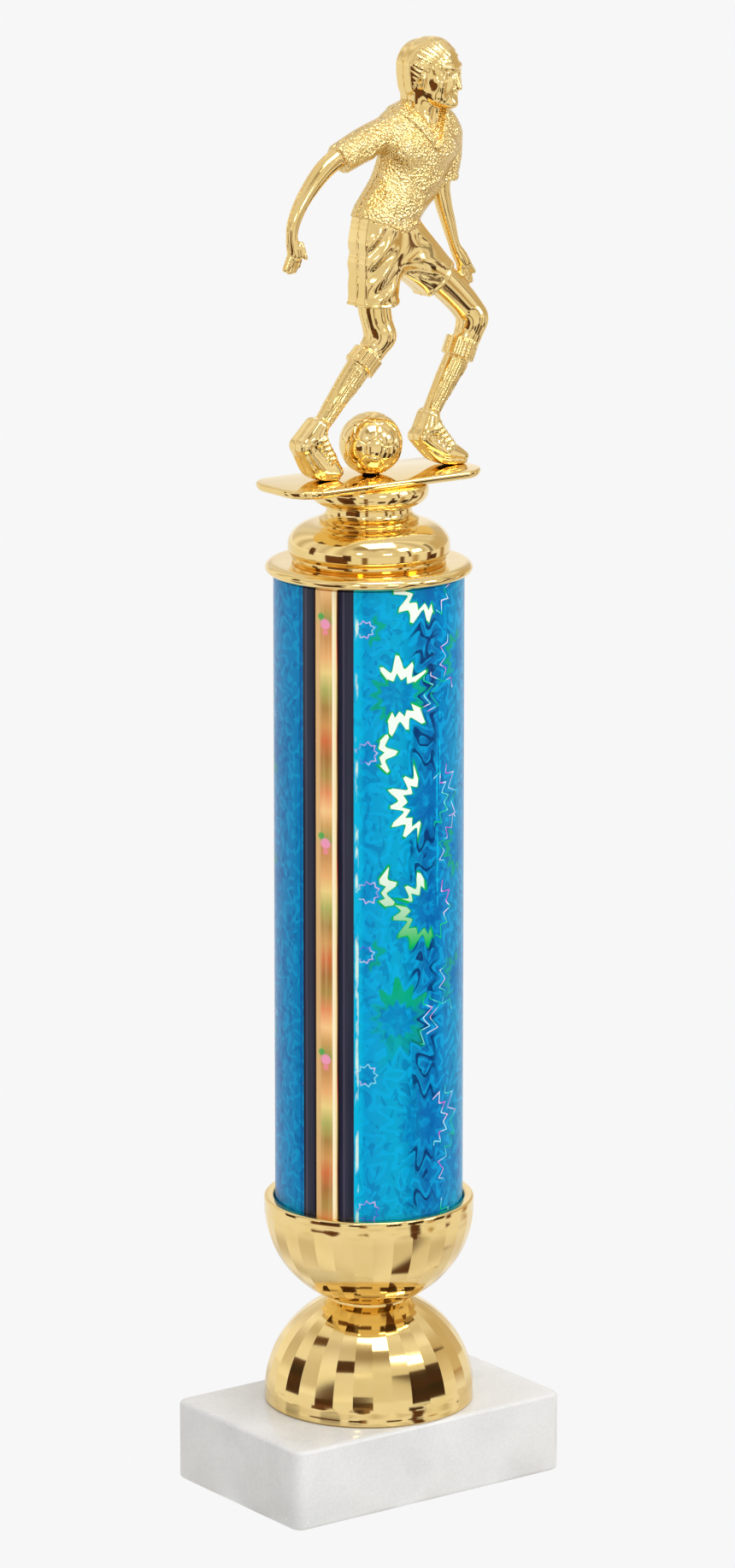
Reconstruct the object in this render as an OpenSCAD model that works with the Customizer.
// Figure trophy: a marble block, a fluted hourglass riser, a round column wrapped in foil,
// and a running footballer with a ball on a small stand, all clamped by one tie rod.
// Millimetres. Origin under the centre of the block, +Z up, +X along the block's long side,
// and the figure's chest towards -Y.

/* [Base] */
// Length of the marble block, along X
base_l = 88.9; // [84:0.1:110]
// Width of the marble block, along Y
base_w = 57.2; // [57:0.1:80]
// Height of the marble block
base_h = 22.2; // [19:0.1:32]
// Radius of the block's upright corners
base_corner_r = 2.5; // [1:0.5:4]
// Depth of the nut recess under the block
recess_h = 11; // [10.5:0.5:14]
// Diameter of the nut recess under the block
recess_d = 26; // [24:1:30]
// Diameter of each felt pad
pad_d = 10; // [6:1:12]
// Thickness of each felt pad
pad_t = 0.8; // [0.5:0.1:1.5]

/* [Riser] */
// Diameter of the riser at its foot and at its rim
riser_d = 56.8; // [56:0.1:57]
// Diameter of the waist between the two domes
waist_d = 22; // [20:0.5:24]
// Height of the plain band at the foot and at the rim
riser_band_h = 2.4; // [2:0.1:3]
// Thickness of the riser's wall
riser_wall = 1.8; // [1.5:0.1:2]

/* [Column] */
// Outer diameter of the column with its foil on
column_d = 50.8; // [50:0.1:51]
// Length of the column tube
column_len = 181; // [100:1:350]
// Thickness of the tube's wall
column_wall = 1.3; // [1.2:0.1:2]
// Thickness of the foil and of the stripes
foil_t = 0.3; // [0.2:0.05:0.4]
// How deep the tube sits in the riser's cup
cup_depth = 9.8; // [8:0.1:11]
// Direction of the middle of the stripes, from +X
stripe_mid_deg = 207.7; // [180:0.1:260]
// Width of the gold stripe, round the column
gold_stripe_deg = 14.6; // [8:0.1:24]
// Width of each black stripe, round the column
black_stripe_deg = 9.8; // [6:0.1:14]

/* [Cap and lid] */
// Diameter of the cap's flange on top of the column
cap_d = 55.2; // [53:0.1:58]
// Thickness of the cap's flange
cap_t = 4; // [3:0.1:5]
// Largest diameter of the domed lid
lid_d = 43.2; // [40:0.1:48]
// Height of the domed lid
lid_h = 10.4; // [9:0.1:13]

/* [Stand] */
// Length of the plate under the figure, along X
plate_l = 63; // [60:0.5:68]
// Width of the plate under the figure, along Y
plate_w = 25.2; // [24:0.2:32]
// Thickness of the plate under the figure
plate_t = 2.3; // [2:0.1:3]
// Diameter of the ring under the plate
ring_d = 31.8; // [30:0.1:34]

/* [Figure] */
// Diameter of the ball
ball_d = 17; // [15:0.1:18]
// Height of the figure, from the plate to the top of the head
figure_h = 115; // [95:1:130]

/* [Hardware] */
// Diameter of the tie rod, a quarter-inch thread
rod_d = 6.35; // [5:0.05:6.4]
// Width across the flats of the nuts
nut_af = 11.1; // [10:0.1:11.2]
// Height of each nut
nut_h = 5.6; // [5:0.1:5.8]

/* [Hidden] */
$fn = 96;
clear = 0.2;                          // gap of a loose fit
hole_d = rod_d + 0.75;                // clearance hole for the tie rod
washer_t = 1.5;
washer_d = 22;
spring_t = 1.6;                       // spring washer
spring_d = 12.4;

dome_r = riser_d / 2;
waist_r = waist_d / 2;
waist_gap = 0.5;                      // groove between the two domes
dome_rise = sqrt(pow(dome_r, 2) - pow(waist_r, 2));
riser_h = 2 * (riser_band_h + dome_rise) + waist_gap;
web_t = 2.8;                          // floor between the two domes
ledge_r = column_d / 2 - 1.9;         // inner edge of the ledge that carries the tube

riser_z = pad_t + base_h;
rim_z = riser_z + riser_h;
tube_z = rim_z - cup_depth;
cap_z = tube_z + column_len;
lid_z = cap_z + cap_t;
stand_z = lid_z + lid_h;
neck_h = 10.1;                        // stand from the lid up to the plate
plate_z = stand_z + neck_h;
foot_z = plate_z + plate_t;           // top of the plate

tube_r = column_d / 2 - foil_t;
bore_r = tube_r - column_wall;
recess_z = pad_t + recess_h;          // roof of the nut recess
spring_z = recess_z - washer_t - spring_t;
nut_z = spring_z - nut_h;
rod_z = nut_z - 1.3;
insert_z = stand_z + 1;
rod_top = insert_z + nut_h + 1.4;

// Points along part of a circle or an ellipse
function arc(cx, cz, rx, rz, from, to, n = 20) =
    [for (i = [0:n]) let (a = from + (to - from) * i / n) [cx + rx * cos(a), cz + rz * sin(a)]];

module ring(z, outer_d, inner_d, h) {
    translate([0, 0, z]) difference() {
        cylinder(d = outer_d, h = h);
        translate([0, 0, -1]) cylinder(d = inner_d, h = h + 2);
    }
}

module hex_nut(z) {
    translate([0, 0, z]) difference() {
        cylinder(d = nut_af / cos(30), h = nut_h, $fn = 6);
        translate([0, 0, -1]) cylinder(d = rod_d, h = nut_h + 2);
    }
}

module base_block() {
    x = base_l / 2 - base_corner_r;
    y = base_w / 2 - base_corner_r;
    color("whitesmoke") translate([0, 0, pad_t]) difference() {
        union() {
            translate([-x, -base_w / 2, 0]) cube([2 * x, base_w, base_h]);
            translate([-base_l / 2, -y, 0]) cube([base_l, 2 * y, base_h]);
            for (sx = [-1, 1], sy = [-1, 1])
                translate([sx * x, sy * y, 0]) cylinder(r = base_corner_r, h = base_h);
        }
        translate([0, 0, -1]) cylinder(d = recess_d, h = recess_h + 1);
        cylinder(d = hole_d, h = base_h + 1);
    }
}

module base_pads() {
    x = base_l / 2 - base_corner_r - pad_d / 2 - 1;
    y = base_w / 2 - base_corner_r - pad_d / 2 - 1;
    color("dimgray")
        for (sx = [-1, 1], sy = [-1, 1])
            translate([sx * x, sy * y, 0]) cylinder(d = pad_d, h = pad_t);
}

module base_nut() {
    color("silver") hex_nut(nut_z);
}

module spring_washer() {
    color("silver") difference() {
        ring(spring_z, spring_d, rod_d + clear, spring_t);
        translate([0, -0.5, spring_z - 1]) cube([spring_d, 1, spring_t + 2]);
    }
}

module base_washer() {
    color("silver") ring(recess_z - washer_t, washer_d, hole_d, washer_t);
}

module tie_rod() {
    color("silver") translate([0, 0, rod_z]) cylinder(d = rod_d, h = rod_top - rod_z);
}

// Two bowls back to back: the lower one stands on the block, the upper one holds the tube.
module riser() {
    waist_deg = acos(waist_r / dome_r);
    low_z = riser_z + riser_band_h;             // centre of the lower dome
    high_z = rim_z - riser_band_h;              // centre of the upper dome
    inner_r = dome_r - riser_wall;
    web_z = riser_z + riser_h / 2 - web_t / 2;
    web_deg = asin((web_z - low_z) / inner_r);
    ledge_deg = acos(ledge_r / inner_r);
    socket_r = column_d / 2 + clear;
    outer = concat([[dome_r, riser_z]],
                   arc(0, low_z, dome_r, dome_r, 0, waist_deg),
                   arc(0, high_z, dome_r, dome_r, -waist_deg, 0),
                   [[dome_r, rim_z]]);
    inner = concat([[socket_r, rim_z], [socket_r, tube_z], [ledge_r, tube_z]],
                   arc(0, high_z, inner_r, inner_r, -ledge_deg, -web_deg),
                   [[hole_d / 2, web_z + web_t], [hole_d / 2, web_z]],
                   arc(0, low_z, inner_r, inner_r, web_deg, 0),
                   [[inner_r, riser_z]]);
    color("gold") rotate_extrude() polygon(concat(outer, inner));
}

module column_tube() {
    color("dimgray") ring(tube_z, 2 * tube_r, 2 * bore_r, column_len);
}

// A thin strip that lies on the tube from one direction round to another
module strip(from, to) {
    translate([0, 0, tube_z]) rotate([0, 0, from]) rotate_extrude(angle = to - from)
        translate([tube_r, 0]) square([foil_t, column_len]);
}

black_from = stripe_mid_deg - gold_stripe_deg / 2 - black_stripe_deg;
black_to = stripe_mid_deg + gold_stripe_deg / 2 + black_stripe_deg;

module foil_wrap() {
    color("deepskyblue") strip(black_to, black_from + 360);
}

module gold_stripe() {
    color("orange") strip(stripe_mid_deg - gold_stripe_deg / 2, stripe_mid_deg + gold_stripe_deg / 2);
}

module black_stripe_left() {
    color("black") strip(black_from, black_from + black_stripe_deg);
}

module black_stripe_right() {
    color("black") strip(black_to - black_stripe_deg, black_to);
}

// Flange with a rounded rim, and a skirt that drops into the tube
module column_cap() {
    rim_r = cap_t / 2;
    skirt_h = 10;
    skirt_r = bore_r - clear / 2;
    skirt_wall = 1.6;
    profile = concat([[hole_d / 2, lid_z], [cap_d / 2 - rim_r, lid_z]],
                     arc(cap_d / 2 - rim_r, cap_z + rim_r, rim_r, rim_r, 90, -90),
                     [[skirt_r, cap_z], [skirt_r, cap_z - skirt_h],
                      [skirt_r - skirt_wall, cap_z - skirt_h], [skirt_r - skirt_wall, cap_z + 1.6],
                      [hole_d / 2, cap_z + 1.6]]);
    color("gold") rotate_extrude() polygon(profile);
}

module lid_dome() {
    foot_r = lid_d / 2 - 1.2;
    foot_h = 1.2;
    crown_r = 13.3;                             // flat top, under the stand
    crown_z = lid_z + 3;
    wall = 1.8;
    boss_r = 6;
    outer = concat([[hole_d / 2, lid_z], [boss_r, lid_z], [boss_r, lid_z + lid_h - 2.4],
                    [crown_r, lid_z + lid_h - 2.4]],
                   arc(crown_r, crown_z, foot_r - wall - crown_r, lid_h - 5.4, 90, 0),
                   [[foot_r - wall, lid_z], [foot_r, lid_z], [foot_r, lid_z + foot_h],
                    [lid_d / 2, lid_z + foot_h + 0.5]],
                   arc(crown_r, crown_z, lid_d / 2 - crown_r, lid_h - 3, 0, 90),
                   [[hole_d / 2, lid_z + lid_h]]);
    color("gold") rotate_extrude() polygon(outer);
}

// Spool-shaped neck with a ring, and the plate that the figure and the ball stand on
module figure_stand() {
    ring_r = ring_d / 2;
    corner_r = 8;
    x = plate_l / 2 - corner_r;
    y = plate_w / 2 - corner_r;
    neck = [[0, stand_z], [13.1, stand_z], [12.2, stand_z + 0.8], [11.5, stand_z + 2.2],
            [11.5, stand_z + 3.8], [11.9, stand_z + 4.4], [14, stand_z + 5.2],
            [15.4, stand_z + 6.8], [ring_r, stand_z + 8.4], [ring_r - 0.4, stand_z + 9.6],
            [ring_r - 1.2, plate_z], [0, plate_z]];
    color("gold") difference() {
        union() {
            rotate_extrude() polygon(neck);
            translate([-x, -plate_w / 2, plate_z]) cube([2 * x, plate_w, plate_t]);
            translate([-plate_l / 2, -y, plate_z]) cube([plate_l, 2 * y, plate_t]);
            for (sx = [-1, 1], sy = [-1, 1])
                translate([sx * x, sy * y, plate_z]) cylinder(r = corner_r, h = plate_t);
        }
        translate([0, 0, insert_z]) cylinder(d = nut_af / cos(30), h = nut_h, $fn = 6);
        translate([0, 0, stand_z - 1]) cylinder(d = hole_d, h = rod_top - stand_z + 1.4);
    }
}

module insert_nut() {
    color("goldenrod") hex_nut(insert_z);
}

// One rounded limb between two balls. Places are X and Z on the figure's middle plane.
module limb(a, ra, b, rb) {
    hull() {
        translate([a[0], 0, a[1]]) sphere(r = ra, $fn = 16);
        translate([b[0], 0, b[1]]) sphere(r = rb, $fn = 16);
    }
}

// Shoulders, hips and chest are wider than they are deep
module trunk(a, wa, b, wb, depth) {
    edge_h = 2.4;
    hull() {
        translate([a[0], 0, a[1]]) scale([wa, depth, edge_h]) sphere(r = 1, $fn = 20);
        translate([b[0], 0, b[1]]) scale([wb, depth, edge_h]) sphere(r = 1, $fn = 20);
    }
}

// The boots sink a little into the plate's top, where figure_half trims their soles flat
module figure_solid() {
    drawn_h = 115;
    sole_trim = 0.2;
    translate([0, 0, foot_z - sole_trim]) scale(figure_h / drawn_h) {
        // head and neck
        translate([19.4, 0, 105]) scale([8, 8, 10]) sphere(r = 1, $fn = 24);
        limb([15.5, 92], 4, [18, 99], 4.2);
        // chest, belly and shorts
        trunk([15.8, 89], 11, [14, 80.5], 10, 7);
        trunk([14, 80.5], 10, [5.2, 69], 7.4, 6.8);
        trunk([5.2, 69], 7, [6, 60], 9, 6.8);
        // trailing arm: sleeve, forearm, hand
        limb([6, 90], 4.6, [-8.5, 85.4], 4);
        limb([-10, 84.5], 3.2, [-21, 75], 2.4);
        limb([-21, 75], 2.4, [-24.7, 65.5], 1.6);
        limb([-24.4, 65], 1.7, [-24.4, 60], 2.4);
        // leading arm: shoulder, forearm, hand
        limb([25.3, 89], 4, [23.2, 77], 3.6);
        limb([23.2, 77], 3, [28, 58.5], 1.8);
        limb([28.2, 58], 1.8, [32.2, 50], 1.6);
        // standing leg: shorts, knee, calf, boot
        limb([1.8, 60], 6.4, [1.6, 47.6], 5.6);
        limb([2.2, 47], 4.4, [2.8, 36], 4);
        limb([2.8, 36], 4, [-2.6, 30.5], 4.2);
        limb([-2.6, 30.5], 4.2, [-16.4, 13.4], 2.6);
        limb([-17, 12], 2.8, [-21.5, 10], 2.4);
        limb([-18, 11], 3, [-12.6, 2.2], 2.2);
        // striding leg: shorts, knee, calf, boot
        limb([10, 60], 6.4, [20.6, 51.6], 5.2);
        limb([20.6, 51], 4.6, [34, 38], 4);
        limb([34, 38], 4, [30.2, 30.6], 4);
        limb([30.2, 30.6], 4, [19.6, 12], 2.6);
        limb([18.6, 10], 2.8, [24, 4.4], 2.6);
        limb([24, 4.4], 2.6, [29, 2], 2);
    }
}

module figure_half(side) {
    reach = figure_h;
    intersection() {
        figure_solid();
        translate([-reach, side > 0 ? 0 : -reach, foot_z]) cube([2 * reach, reach, 1.2 * reach]);
    }
}

module figure_front() {
    color("gold") figure_half(-1);
}

module figure_back() {
    color("gold") figure_half(1);
}

// A small flat under the ball where it is fixed to the plate
module ball() {
    flat = 0.3;
    color("gold") translate([0.6, 0, foot_z - flat]) difference() {
        translate([0, 0, ball_d / 2]) sphere(d = ball_d);
        translate([-ball_d, -ball_d, flat - ball_d]) cube([2 * ball_d, 2 * ball_d, ball_d]);
    }
}

base_block();
base_pads();
base_nut();
spring_washer();
base_washer();
tie_rod();
riser();
column_tube();
foil_wrap();
gold_stripe();
black_stripe_left();
black_stripe_right();
column_cap();
lid_dome();
figure_stand();
insert_nut();
figure_front();
figure_back();
ball();
